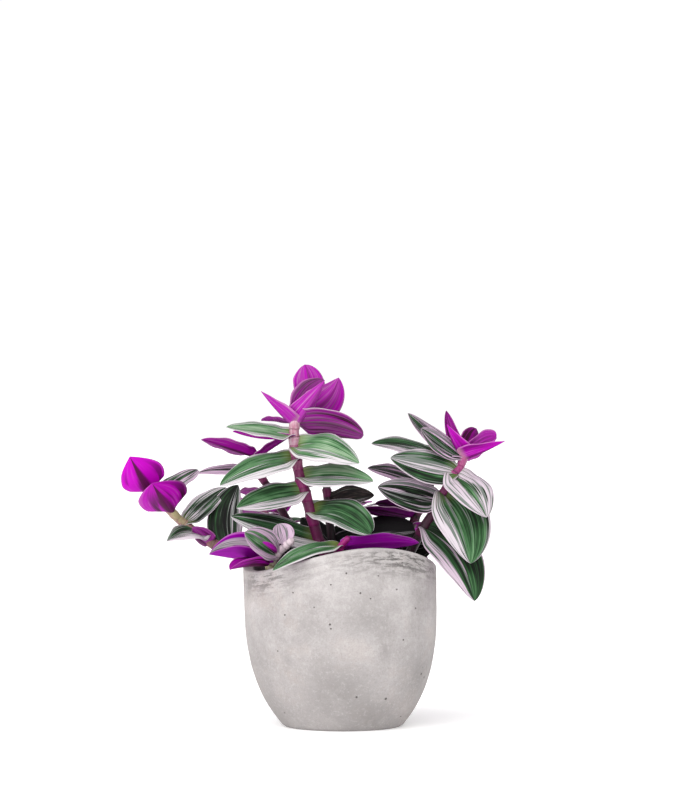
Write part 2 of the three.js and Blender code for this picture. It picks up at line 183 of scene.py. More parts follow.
class Look:
    """Builds one node material."""

    def __init__(self, name, roughness, specular):
        self.material = bpy.data.materials.new(name)
        self.material.use_nodes = True
        self.tree = self.material.node_tree
        self.surface = self.tree.nodes["Principled BSDF"]
        self.surface.inputs["Roughness"].default_value = roughness
        self.surface.inputs["Specular IOR Level"].default_value = specular

    def put(self, value, socket):
        """Gives an input a number, a colour, a Value or another node's output."""
        if isinstance(value, Value):
            value = value.socket
        if isinstance(value, bpy.types.NodeSocket):
            self.tree.links.new(value, socket)
        elif isinstance(value, tuple) and len(value) == 3 and len(socket.default_value) == 4:
            socket.default_value = (*value, 1.0)
        else:
            socket.default_value = value

    def node(self, kind, **values):
        made = self.tree.nodes.new(kind)
        for key, value in values.items():
            setattr(made, key, value)
        return made

    def attribute(self, name):
        """One of the numbers that a Shape gives its points."""
        return Value(self, self.node("ShaderNodeAttribute", attribute_name=name).outputs["Fac"])

    def place(self):
        return self.node("ShaderNodeTexCoord").outputs["Object"]

    def math(self, operation, a, b=0.0, clamp=False):
        made = self.node("ShaderNodeMath", operation=operation, use_clamp=clamp)
        self.put(a, made.inputs[0])
        self.put(b, made.inputs[1])
        return Value(self, made.outputs[0])

    def near(self, place, point, reach, full):
        """1 within `full` millimetres of a point, and 0 beyond `reach`."""
        apart = self.node("ShaderNodeVectorMath", operation="DISTANCE")
        self.put(place, apart.inputs[0])
        apart.inputs[1].default_value = [v * MM for v in point]
        return Value(self, apart.outputs["Value"]).step(reach * MM, full * MM)

    def vector(self, x, y, z):
        made = self.node("ShaderNodeCombineXYZ")
        for value, socket in zip((x, y, z), made.inputs):
            self.put(value, socket)
        return made.outputs[0]

    def noise(self, vector, scale, detail, rough=0.5):
        made = self.node("ShaderNodeTexNoise")
        self.put(vector, made.inputs["Vector"])
        made.inputs["Scale"].default_value = scale
        made.inputs["Detail"].default_value = detail
        made.inputs["Roughness"].default_value = rough
        return Value(self, made.outputs["Fac"])

    def mix(self, factor, a, b):
        made = self.node("ShaderNodeMix", data_type="RGBA")
        self.put(factor, made.inputs[0])
        self.put(a, made.inputs[6])
        self.put(b, made.inputs[7])
        return made.outputs[2]

    def ramp(self, value, *stops):
        made = self.node("ShaderNodeValToRGB")
        self.put(value, made.inputs["Fac"])
        elements = made.color_ramp.elements
        while len(elements) < len(stops):
            elements.new(1.0)
        for element, (at, colour) in zip(elements, stops):
            element.position = at
            element.color = (*colour, 1.0)
        return made.outputs["Color"]

    def bump(self, height, distance, strength):
        made = self.node("ShaderNodeBump")
        made.inputs["Distance"].default_value = distance * MM
        made.inputs["Strength"].default_value = strength
        self.put(height, made.inputs["Height"])
        self.put(made.outputs["Normal"], self.surface.inputs["Normal"])

    def finish(self, colour):
        self.put(colour, self.surface.inputs["Base Color"])
        return self.material


def leaf_lines(look, count, drift, seed):
    """Noise drawn out along a leaf: `count` lines fit in half its width and `drift` in its length.
    The leaf's own seed takes it to another part of the noise."""
    own = look.attribute("seed")
    x = look.attribute("across") * count + own * (17.3 + seed)
    y = look.attribute("along") * drift + seed
    return look.noise(look.vector(x, y, own * 5.1), 1.0, 2.0, 0.55)


MAGENTA = (0.4, 0.0, 0.375)
MAGENTA_LIT = (0.62, 0.0, 0.6)
VIOLET = (0.15, 0.0, 0.26)
# The dark end of the magenta, for its streaks and for painted shade.
DEEP_MAGENTA = (0.042, 0.002, 0.026)
DEEP_VIOLET = (0.03, 0.002, 0.04)
PALE_LINE = (0.52, 0.22, 0.43)
PINK_VEIL = (0.3, 0.13, 0.27)
DARK_RIB = (0.075, 0.005, 0.048)
PINK_MARGIN = (0.5, 0.24, 0.42)


def magenta(look):
    """The colour of young leaves and of undersides: dark streaks, a dark midrib and a few pale lines."""
    broad = leaf_lines(look, 3.4, 0.7, 3.0)
    fine = leaf_lines(look, 11.0, 0.9, 8.0)
    s = abs(look.attribute("across"))
    t = look.attribute("along")
    glow = look.attribute("glow")
    violet = look.attribute("violet")
    ribbed = look.attribute("rib")
    wide = t * -0.28 + 0.36
    rib = s.step(wide, wide * 0.4) * ribbed
    fan = t.step(0.95, 0.3) * (broad.step(0.46, 0.58) * ribbed)
    # A low glow is painted shade: it darkens the whole leaf towards deep magenta and strengthens its
    # streaks. Above 1.0 it paints a lit leaf a brighter magenta.
    streaks = broad.step(0.5, 0.66) * (1.15 - glow)
    dark = (0.98 - glow + streaks + fan * 0.7).clamp()
    bright = look.mix(glow.step(1.0, 1.2), MAGENTA, MAGENTA_LIT)
    bright = look.mix(violet, bright, VIOLET)
    light = fine.step(0.54, 0.68) * (broad.step(0.55, 0.45) * look.attribute("sheen"))
    bright = look.mix(light, bright, PALE_LINE)
    colour = look.mix(dark, bright, look.mix(violet, DEEP_MAGENTA, DEEP_VIOLET))
    colour = look.mix(look.attribute("veil") * fine.step(0.35, 0.6), colour, PINK_VEIL)
    colour = look.mix(rib * (fine * 0.8 + 0.55), colour, DARK_RIB)
    return look.mix(s.step(0.91, 0.96) * look.attribute("hem"), colour, PINK_MARGIN)


STRIPE_WHITE = (0.53, 0.505, 0.52)
STRIPE_PINK = (0.47, 0.26, 0.44)
STRIPE_LINE = (0.07, 0.115, 0.08)
LEAF_BASE = (0.16, 0.18, 0.045)
MARGIN_WHITE = (0.55, 0.52, 0.54)
MARGIN_PINK = (0.46, 0.24, 0.42)


def leaf_top():
    """Green between white or pink stripes, which turns magenta on young leaves and brown on dry ones."""
    look = Look("leaf_top", 0.46, 0.06)
    s = abs(look.attribute("across"))
    t = look.attribute("along")
    pink = look.attribute("pink")
    broad = leaf_lines(look, 4.4, 0.8, 1.0)
    fine = leaf_lines(look, 13.0, 0.9, 5.0)
    hair = leaf_lines(look, 26.0, 1.1, 9.0)
    patch = leaf_lines(look, 2.0, 2.4, 12.0)
    lines = (broad * 0.52 + (fine * 0.36 + hair * 0.12)).sway(3.6) + 0.5
    limit = 1.0 - look.attribute("pale")
    white = lines.step(limit - 0.07, limit + 0.07)
    # The tone sets the green and in part paints light and shade: low on leaves in shade, high on lit ones.
    green = look.ramp(
        look.attribute("tone") + fine.sway(1.1) + hair.sway(0.8) + patch.sway(0.9),
        (0.0, (0.007, 0.006, 0.007)),
        (0.22, (0.012, 0.019, 0.012)),
        (0.5, (0.028, 0.085, 0.031)),
        (0.75, (0.1, 0.21, 0.1)),
        (1.0, (0.26, 0.35, 0.24)),
    )
    pale = look.mix((pink + fine.sway(0.8)).clamp(), STRIPE_WHITE, STRIPE_PINK)
    thin = (fine * 0.8 + hair * 0.2).step(0.49, 0.56)
    pale = look.mix(thin * 0.85, pale, STRIPE_LINE)
    colour = look.mix(white, green, pale)
    base = t.step(0.22, 0.0) * (0.75 - white * 0.45)
    colour = look.mix(base * pink.step(0.4, 0.1), colour, LEAF_BASE)
    margin = s.step(0.93, 0.965) * (look.attribute("hem") * 2.0).clamp()
    colour = look.mix(margin, colour, look.mix(pink, MARGIN_WHITE, MARGIN_PINK))
    young = look.attribute("young")
    young = (young + broad.sway(0.6)).step(0.3, 0.7) * young.step(0.02, 0.08)
    colour = look.mix(young, colour, magenta(look))
    colour = look.mix(look.attribute("dry"), colour, dry_leaf(look))
    look.bump(fine * 0.6 + hair * 0.4, 0.35, 0.7)
    return look.finish(colour)


def dry_leaf(look):
    return look.ramp(
        leaf_lines(look, 9.0, 3.0, 15.0),
        (0.4, (0.012, 0.008, 0.008)),
        (0.55, (0.06, 0.035, 0.03)),
        (0.68, (0.38, 0.28, 0.23)),
    )


CREAM_BASE = (0.45, 0.25, 0.3)


def leaf_back():
    look = Look("leaf_back", 0.55, 0.09)
    base = look.attribute("along").step(0.2, 0.02) * look.attribute("cream")
    colour = look.mix(base * 0.8, magenta(look), CREAM_BASE)
    colour = look.mix(look.attribute("dry"), colour, dry_leaf(look))
    look.bump(leaf_lines(look, 26.0, 1.2, 4.0), 0.25, 0.6)
    return look.finish(colour)


STEM_PINK = (0.27, 0.004, 0.14)
STEM_LIME = (0.4, 0.39, 0.18)
STEM_RING = (0.04, 0.012, 0.025)


def stem_skin():
    look = Look("stem_skin", 0.42, 0.3)
    place = look.place()
    squeezed = look.node("ShaderNodeMapping")
    squeezed.inputs["Scale"].default_value = (1.0, 1.0, 0.12)
    look.put(place, squeezed.inputs["Vector"])
    streaks = look.noise(squeezed.outputs[0], 900.0, 3.0, 0.6)
    mottle = look.noise(place, 160.0, 3.0, 0.6)
    colour = look.ramp(
        look.attribute("fresh") + streaks.sway(0.6) + mottle.sway(0.35),
        (0.0, (0.008, 0.004, 0.006)),
        (0.3, (0.06, 0.008, 0.03)),
        (0.6, (0.19, 0.03, 0.1)),
        (0.82, (0.42, 0.2, 0.26)),
        (1.0, (0.58, 0.48, 0.52)),
    )
    colour = look.mix(look.attribute("blush"), colour, STEM_PINK)
    lime = look.attribute("lime") * (1.1 - mottle.step(0.48, 0.62) * 0.6)
    colour = look.mix(lime, colour, STEM_LIME)
    colour = look.mix(look.attribute("ring") * 0.7, colour, STEM_RING)
    look.bump(streaks, 0.3, 0.5)
    return look.finish(colour)


CAST_WARM = (0.46, 0.385, 0.345)
CAST_STREAK = (0.1, 0.092, 0.09)
# Painted shade for the lower half and, in blotches, for the foot.
CAST_LOW_SHADE = (0.2, 0.185, 0.182)
CAST_FOOT_SHADE = (0.21, 0.195, 0.19)
CAST_DARK_PATCH = (0.2, 0.187, 0.182)
CAST_GRAIN = (0.2, 0.19, 0.188)
CAST_SPECK = (0.24, 0.225, 0.22)
CAST_FLECK = (0.66, 0.64, 0.64)
# Painted shade inside the pits.
CAST_PIT_SHADE = (0.075, 0.065, 0.062)


def concrete():
    look = Look("cast_concrete", 0.85, 0.2)
    place = look.place()
    height = look.attribute("height")
    below = look.attribute("below")
    clouds = look.noise(place, 14.0, 4.0, 0.6)
    blotch = look.noise(place, 48.0, 6.0, 0.7)
    grain = look.noise(place, 900.0, 3.0, 0.75)
    specks = look.noise(place, 420.0, 4.0, 0.7)
    colour = look.ramp(
        clouds * 0.55 + blotch * 0.45,
        (0.36, (0.305, 0.285, 0.28)),
        (0.5, (0.42, 0.395, 0.39)),
        (0.63, (0.52, 0.495, 0.495)),
    )
    warm = look.noise(place, 27.0, 5.0, 0.65).step(0.5, 0.66)
    colour = look.mix(warm * 0.3, colour, CAST_WARM)

    # Streaks drawn out round the pot, in the first 24 mm below its rim.
    round_pot = look.vector(look.attribute("turn") * 5.0, below * 0.3, 2.0)
    drawn = look.noise(round_pot, 1.0, 6.0, 0.72).step(0.45, 0.58)
    band = below.step(0.5, 4.0) * below.step(24.0, 6.0)
    streak = drawn * band * look.attribute("stained")
    colour = look.mix(streak * 0.95, colour, CAST_STREAK)

    # Painted shade makes the lower half darker, more so in blotches near the foot; the darker patches
    # darken it further.
    colour = look.mix(height.step(104.0, 62.0) * 0.24, colour, CAST_LOW_SHADE)
    foot = height.step(56.0, 0.0) * blotch.step(0.34, 0.6)
    colour = look.mix(foot * 0.45, colour, CAST_FOOT_SHADE)
    for angle, z, radius in DARK_PATCHES:
        near = look.near(place, on_pot(angle, z), radius, 0.0) * blotch.step(0.3, 0.55)
        colour = look.mix(near * 0.62, colour, CAST_DARK_PATCH)

    # Fine grain, with dark and pale specks.
    colour = look.mix(grain.step(0.42, 0.68) * 0.26, colour, CAST_GRAIN)
    colour = look.mix(specks.step(0.54, 0.68) * 0.3, colour, CAST_SPECK)
    colour = look.mix(specks.step(0.46, 0.34) * 0.14, colour, CAST_FLECK)

    # Pinholes in one cell of five, and the larger pits.
    cells = look.node("ShaderNodeTexVoronoi")
    cells.inputs["Scale"].default_value = 120.0
    look.put(place, cells.inputs["Vector"])
    channels = look.node("ShaderNodeSeparateColor")
    look.put(cells.outputs["Color"], channels.inputs[0])
    pick = Value(look, channels.outputs[0])
    size = pick.step(0.8, 1.0) * 0.1 + 0.001
    pits = Value(look, cells.outputs["Distance"]).step(size, size * 0.5) * pick.step(0.8, 0.82)
    for angle, z, radius in PITS:
        pits = look.math("MAXIMUM", pits, look.near(place, on_pot(angle, z), radius, radius * 0.5))
    # The pits are painted dark: painted shade in their hollows.
    colour = look.mix(pits * 0.85, colour, CAST_PIT_SHADE)
    look.bump(grain * 0.1 + blotch * 0.3 - pits, 0.6, 0.8)
    return look.finish(colour)


def potting_mix():
    look = Look("potting_mix", 0.95, 0.2)
    place = look.place()
    lumps = look.noise(place, 260.0, 5.0, 0.7)
    grain = look.noise(place, 1400.0, 3.0, 0.7)
    colour = look.ramp(
        lumps * 0.6 + grain * 0.4,
        (0.35, (0.008, 0.005, 0.004)),
        (0.55, (0.035, 0.02, 0.012)),
        (0.75, (0.12, 0.075, 0.045)),
    )
    look.bump(lumps + grain * 0.5, 1.2, 1.0)
    return look.finish(colour)


def white_floor():
    look = Look("white_floor", 0.9, 0.1)
    soft = look.noise(look.place(), 3.0, 2.0)
    look.surface.inputs["Emission Color"].default_value = (1.0, 1.0, 1.0, 1.0)
    look.surface.inputs["Emission Strength"].default_value = 0.24
    return look.finish(look.mix(soft, (0.95, 0.95, 0.95), (0.93, 0.93, 0.93)))


LEAF_TOP = leaf_top()
LEAF_BACK = leaf_back()
STEM_SKIN = stem_skin()
CONCRETE = concrete()
POTTING_MIX = potting_mix()

FLOOR_RADIUS = 60.0  # metres
FLOOR_SIDES = 96
floor = bpy.data.meshes.new("floor")
floor.from_pydata(
    [(FLOOR_RADIUS * math.cos(a), FLOOR_RADIUS * math.sin(a), 0.0) for a in turns_of(FLOOR_SIDES)],
    [],
    [list(range(FLOOR_SIDES))],
)
floor.materials.append(white_floor())
floor_object = bpy.data.objects.new("floor", floor)
scene.collection.objects.link(floor_object)

# A white studio, bright near the horizon and dimmer overhead.
world = bpy.data.worlds.new("studio")
world.use_nodes = True
scene.world = world
sky = world.node_tree
direction = sky.nodes.new("ShaderNodeTexCoord")
split = sky.nodes.new("ShaderNodeSeparateXYZ")
sky.links.new(direction.outputs["Generated"], split.inputs[0])
rise_of_sky = sky.nodes.new("ShaderNodeMapRange")
rise_of_sky.interpolation_type = "SMOOTHSTEP"
for limit, value in (("From Min", 0.1), ("From Max", 0.55), ("To Min", 1.05), ("To Max", 0.5)):
    rise_of_sky.inputs[limit].default_value = value
sky.links.new(split.outputs["Z"], rise_of_sky.inputs["Value"])
sky.links.new(rise_of_sky.outputs["Result"], sky.nodes["Background"].inputs["Strength"])
sky.nodes["Background"].inputs["Color"].default_value = (1.0, 1.0, 1.0, 1.0)

# ---- meshes ----


class Shape:
    """Points in millimetres with numbers of their own, and faces with a material each."""

    def __init__(self):
        self.points = []
        self.values = {}
        self.faces = []
        self.kinds = []

    def add(self, points, faces, kinds=None, **values):
        start = sum(len(p) for p in self.points)
        points = np.asarray(points, float).reshape(-1, 3)
        for name in set(self.values) | set(values):
            rows = self.values.setdefault(name, [np.zeros(start)])
            value = values.get(name, 0.0)
            rows.append(np.broadcast_to(np.asarray(value, float).reshape(-1), (len(points),)))
        self.points.append(points)
        self.faces.extend([tuple(i + start for i in face) for face in faces])
        self.kinds.extend(kinds or [0] * len(faces))

    def make(self, name, materials, slot, *nodes):
        mesh = bpy.data.meshes.new(name)
        mesh.from_pydata((np.concatenate(self.points) * MM).tolist(), [], self.faces)
        for material in materials:
            mesh.materials.append(material)
        mesh.polygons.foreach_set("material_index", self.kinds)
        mesh.polygons.foreach_set("use_smooth", [True] * len(self.faces))
        for key, rows in self.values.items():
            layer = mesh.attributes.new(key, "FLOAT", "POINT")
            layer.data.foreach_set("value", np.concatenate(rows).astype(np.float32))
        mesh.update()
        piece = bpy.data.objects.new(name, mesh)
        scene.collection.objects.link(piece)
        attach(piece, "root")
        if nodes:
            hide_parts(*nodes)


def ring_faces(rings, count):
    """Quads between rings that close on themselves."""
    return [
        (i * count + j, i * count + (j + 1) % count, (i + 1) * count + (j + 1) % count, (i + 1) * count + j)
        for i in range(rings - 1)
        for j in range(count)
    ]


def closed_rings(points, count, first, last):
    """The points and faces of rings of `count` points, each end of them closed round a point."""
    end = len(points)
    faces = ring_faces(end // count, count)
    faces += [(end, (j + 1) % count, j) for j in range(count)]
    faces += [(end + 1, end - count + j, end - count + (j + 1) % count) for j in range(count)]
    return np.concatenate([points, [first, last]]), faces


def unit(v):
    return v / np.linalg.norm(v, axis=-1, keepdims=True)


def ease(x):
    x = np.clip(x, 0.0, 1.0)
    return x * x * (3 - 2 * x)


# ---- pot and soil ----


def uneven(x, y, z, size):
    return noise.noise((x / size, y / size, z / size))


def pot():
    turns = turns_of(POT_TURNS)
    rim = rim_height(turns)
    quarter = np.linspace(0, math.pi / 2, ROUND_STEPS + 1)
    rings = []
    for a in np.linspace(0, math.pi / 2, ROUND_STEPS)[:-1]:
        radius = POT_FOOT_RADIUS - POT_FOOT_ROUND * (1 - math.sin(a))
        rings.append((radius, POT_FOOT_ROUND * (1 - math.cos(a))))
    for u in np.linspace(0, 1, POT_ROWS):
        z = POT_FOOT_ROUND + u * (rim - RIM_ROUND - POT_FOOT_ROUND)
        rings.append((body_radius(z), z))
    for a in quarter[1:]:
        rings.append((POT_RADIUS - RIM_ROUND * (1 - math.cos(a)), rim - RIM_ROUND * (1 - math.sin(a))))
    inner = POT_RADIUS - POT_WALL
    for a in quarter:
        rings.append((inner + RIM_ROUND * (1 - math.sin(a)), rim - RIM_ROUND * (1 - math.cos(a))))
    for z in np.linspace(INNER_EDGE, POT_FLOOR, INNER_ROWS):
        rings.append((body_radius(z) - POT_WALL, z))
    points = []
    x, y = np.cos(turns), np.sin(turns)
    for radius, z in rings:
        z = np.broadcast_to(z, turns.shape)
        around = [(cx * UNEVEN_RADIUS, cy * UNEVEN_RADIUS, cz) for cx, cy, cz in zip(x, y, z)]
        lumps = np.array([sum(share * uneven(*at, size) for share, size in UNEVEN_LUMPS) for at in around])
        r = radius + UNEVEN * lumps * np.minimum(z / UNEVEN_FROM, 1.0)
        points.append(np.stack([POT_LEAN * np.minimum(z, POT_SHOULDER) + r * x, r * y, z], axis=1))
    inside = (POT_LEAN * POT_FLOOR, 0, POT_FLOOR)
    points, faces = closed_rings(np.concatenate(points), POT_TURNS, (0, 0, 0), inside)
    angle = np.arctan2(points[:, 1], points[:, 0])
    stains = [k * np.exp(-((np.degrees(angle) - at) / spread) ** 2) for at, spread, k in STAINS]
    shape = Shape()
    shape.add(
        points, faces, below=rim_height(angle) - points[:, 2], turn=angle, height=points[:, 2],
        stained=np.max(stains, axis=0) + STAIN_TRACE,
    )
    shape.make("pot_fine", [CONCRETE], "concrete", "pot")


SOIL_TURNS = 120
SOIL_LEVELS = [POT_FLOOR + CLEARANCE, 22, 48, 80, SOIL_EDGE - 1]
SOIL_SHARES = np.linspace(0.985, 0.02, 44)  # of its radius, from the edge of its top to the middle
SOIL_FLATNESS = 1.6
SOIL_LUMPS = [(1.2, 3.0, 7.0), (0.8, 9.0, 2.6)]  # height, level in the noise and size
CRUMBS = 620
CRUMB_REACH = 0.96  # share of the soil's radius on which they lie
CRUMB_SIZES = (0.8, 2.6)
CRUMB_SIDES = 6
CRUMB_GIRTH = 0.85
CRUMB_ROUGH = 0.25


def soil_radius(z):
    return float(body_radius(np.array(z))) - POT_WALL - CLEARANCE


def soil_top(share):
    """The height of the mound at a share of the soil's radius."""
    return SOIL_EDGE + SOIL_MOUND * (1 - share ** SOIL_FLATNESS)


def soil():
    edge = soil_radius(SOIL_LEVELS[-1])
    rings = [(soil_radius(z), z, 0.0) for z in SOIL_LEVELS]
    rings += [(edge * share, soil_top(share), 1.0) for share in SOIL_SHARES]
    points = []
    for radius, z, loose in rings:
        for a in turns_of(SOIL_TURNS):
            x, y = radius * math.cos(a), radius * math.sin(a)
            lump = loose * sum(k * uneven(x, y, level, size) for k, level, size in SOIL_LUMPS)
            points.append((POT_LEAN * min(z, POT_SHOULDER) + x, y, z + lump))
    top = (POT_LEAN * SOIL_EDGE, 0, SOIL_EDGE + SOIL_MOUND)
    points, faces = closed_rings(points, SOIL_TURNS, (0, 0, SOIL_LEVELS[0]), top)
    shape = Shape()
    shape.add(points, faces)
    shape.make("soil_fine", [POTTING_MIX], "soil", "soil")


def crumb():
    """A rounded lump: two rings of points between two poles."""
    points = [(0, 0, -1)]
    for z, turn in [(-0.45, 0.0), (0.45, 0.5)]:
        for j in range(CRUMB_SIDES):
            a = (j + turn) * 2 * math.pi / CRUMB_SIDES
            points.append((CRUMB_GIRTH * math.cos(a), CRUMB_GIRTH * math.sin(a), z))
    points.append((0, 0, 1))
    faces = []
    for j in range(CRUMB_SIDES):
        a, b = 1 + j, 1 + (j + 1) % CRUMB_SIDES
        c, d = a + CRUMB_SIDES, b + CRUMB_SIDES
        faces += [(0, b, a), (a, b, c), (b, d, c), (len(points) - 1, c, d)]
    return np.array(points, float), faces


def soil_crumbs():
    rng = random.Random(5)
    edge = soil_radius(SOIL_LEVELS[-1])
    points, faces = crumb()
    shape = Shape()
    for _ in range(CRUMBS):
        share = math.sqrt(rng.random()) * CRUMB_REACH
        a = rng.random() * 2 * math.pi
        size = rng.uniform(*CRUMB_SIZES)
        x, y = edge * share * math.cos(a), edge * share * math.sin(a)
        stretch = np.array([rng.uniform(0.7, 1.7), rng.uniform(0.7, 1.3), rng.uniform(0.5, 1.0)]) * size
        way = rng.random() * math.pi
        rough = 1 + CRUMB_ROUGH * np.array([rng.uniform(-1, 1) for _ in points])[:, None]
        c, s = math.cos(way), math.sin(way)
        turned = (points * stretch * rough) @ np.array([[c, s, 0], [-s, c, 0], [0, 0, 1]])
        place = [POT_LEAN * SOIL_EDGE + x, y, soil_top(share) + size * 0.2]
        shape.add(turned + place, faces)
    shape.make("soil_crumbs", [POTTING_MIX], "soil")


# ---- the plant ----


def leaf(at, tip, width, face, look, **form):
    """A leaf as in the CAD model, and its look: a name in LOOKS."""
    return dict(at=at, tip=tip, width=width, face=face, look=look, **form)


# `pale` is the percentage of white stripes at seven places across the upper side, from the left margin
# to the right one, seen from the base. `tone` runs from blackish over green to pale green, `pink` is the
# blush of the stripes, and `young` is the share of magenta. `glow` is the brightness of the magenta,
# `violet` makes it bluer, `sheen` adds pale lines, `veil` a pink haze, and `rib` darkens it beside the
# midrib. `cream` is the pale base of an underside, `hem` the pale margin, and `dry` turns the leaf brown.
# `tone` and `glow` also paint light and shade: low values are painted shade on leaves that lie in shade
# among the others, as in the looks shaded, dark, dusky and h5, and high values paint lit leaves lighter.
# A name such as a12 is that of the leaf for which the look was made.
LOOKS = {
    "plain": dict(pale=(80, 40, 15, 10, 30, 30, 70), tone=0.4, pink=0.2),
    "striped": dict(pale=(60, 60, 35, 20, 35, 50, 60), tone=0.34, pink=0.25),
    "shaded": dict(pale=(70, 30, 25, 10, 30, 20, 60), tone=0.12, glow=0.35),
    "dark": dict(pale=(20, 10, 30, 10, 5, 10, 30), tone=0.02, pink=0.4, glow=0.3, hem=0.12),
    "a13": dict(pale=(98, 90, 55, 20, 50, 0, 30), pink=0.1, glow=0.3),
    "a12": dict(pale=(40, 0, 0, 0, 10, 50, 90), tone=0.43, pink=0.05, glow=0.3),
    "a11": dict(pale=(97, 90, 50, 25, 30, 10, 40), tone=0.56, pink=0.2, glow=0.3),
    "a10": dict(pale=(30, 10, 20, 30, 50, 55, 95), tone=0.78, pink=0.08, glow=0.3),
    "a9": dict(pale=(97, 80, 55, 30, 15, 10, 40), tone=0.57, pink=0.05, glow=0.4),
    "a8": dict(pale=(80, 40, 25, 20, 30, 60, 98), tone=0.78, pink=0.05, glow=0.4),
    "t7": dict(pale=(97, 45, 20, 15, 20, 30, 85), tone=0.8, pink=0.05, glow=0.55),
    "t8": dict(pale=(90, 30, 10, 10, 10, 30, 80), tone=0.6, glow=0.62),
    "t5": dict(pale=(95, 60, 30, 20, 30, 60, 95), tone=0.6, pink=0.1, sheen=0.8, veil=0.42),
    "t2": dict(young=1, glow=0.9, cream=1, rib=0.5, sheen=0.8, veil=0.25),
    "t2b": dict(young=1, glow=0.6, veil=0.5),
    "t4": dict(young=1, glow=0.85, cream=1, sheen=1, veil=0.3),
    "bright": dict(young=1, glow=0.93, cream=1, rib=0.5, sheen=0.4),
    "magenta": dict(young=1, glow=0.8, cream=1, rib=0.5),
    "dusky": dict(young=1, glow=0.4),
    "d1": dict(young=1, glow=1.06, rib=1, sheen=0.1, hem=0.15),
    "d2": dict(young=1, glow=0.92, rib=1, sheen=0.2, hem=0.2),
    "c1": dict(pale=(40, 30, 20, 20, 20, 30, 40), pink=0.6, glow=0.62),
    "k1": dict(pale=(97, 90, 60, 30, 70, 90, 97), tone=0.12, pink=0.75, glow=0.55),
    "d4": dict(pale=(80, 60, 50, 35, 45, 40, 60), tone=0.36, pink=0.2, glow=0.4),
    "d5": dict(pale=(90, 75, 60, 50, 50, 45, 70), tone=0.42, pink=0.25, glow=0.6),
    "l1": dict(pale=(20, 25, 30, 25, 45, 60, 70), tone=0.16, glow=0.35),
    "d3": dict(pale=(80, 75, 40, 30, 50, 60, 80), tone=0.32, pink=0.6),
    "e5": dict(pale=(98, 90, 60, 40, 40, 50, 90), pink=0.6, young=0.62, glow=0.82, rib=1, hem=0.3, sheen=0),
    "e1": dict(pale=(90, 70, 50, 50, 60, 80, 90), tone=0.4, young=0.22, glow=0.85,
               violet=0.5, hem=0.35, sheen=0),
    "e2": dict(pale=(98, 90, 50, 50, 50, 90, 98), tone=0.7, pink=0.7, glow=0.85, hem=1),
    "e3": dict(pale=(98, 98, 95, 95, 95, 98, 98), tone=0.4, pink=0.65, glow=0.85, sheen=1),
    "f1": dict(pale=(97, 20, 10, 60, 10, 5, 40), tone=0.62, pink=0.02, glow=0.3),
    "g12": dict(pale=(70, 20, 15, 20, 15, 97, 50), tone=0.4, pink=0.45),
    "g10": dict(pale=(85, 35, 40, 50, 35, 40, 75), tone=0.2, pink=0.55, glow=0.4),
    "g9": dict(pale=(60, 40, 30, 15, 30, 60, 50), tone=0.5, pink=0.22, glow=0.4),
    "g6": dict(pale=(50, 80, 90, 20, 80, 85, 50), tone=0.56, glow=0.4),
    "g7": dict(pale=(90, 25, 45, 90, 50, 25, 70), tone=0.34, pink=0.25, glow=0.4),
    "g4": dict(pale=(60, 50, 50, 30, 50, 60, 90), tone=0.34, pink=0.7, glow=0.45),
    "g8": dict(pale=(80, 70, 50, 40, 20, 30, 60), tone=0.36, glow=0.4),
    "b1": dict(pale=(10, 10, 30, 10, 20, 20, 50), tone=-0.08, pink=0.6, glow=0.3, dry=0.15, hem=0.1),
    "h1": dict(glow=1.18, violet=0.56, sheen=0.8, hem=0.1, tone=0.1, veil=0.1),
    "h3": dict(pale=(90, 50, 30, 20, 30, 50, 90), tone=0.2, pink=0.8, glow=0.4),
    "h4": dict(pale=(80, 40, 20, 10, 20, 40, 80), tone=0.1, pink=0.6, glow=0.28, violet=0.3, hem=1),
    "h5": dict(pale=(30, 0, 0, 42, 10, 0, 20), tone=-0.08, pink=0.4, glow=0.3, hem=0),
    "dry": dict(dry=0.9),
}
LOOK_DEFAULTS = dict(
    pale=(30,) * 7, tone=0.3, pink=0.3, young=0, glow=0.5, violet=0, cream=0, rib=0, sheen=0.5,
    hem=0.5, dry=0, veil=0,
)

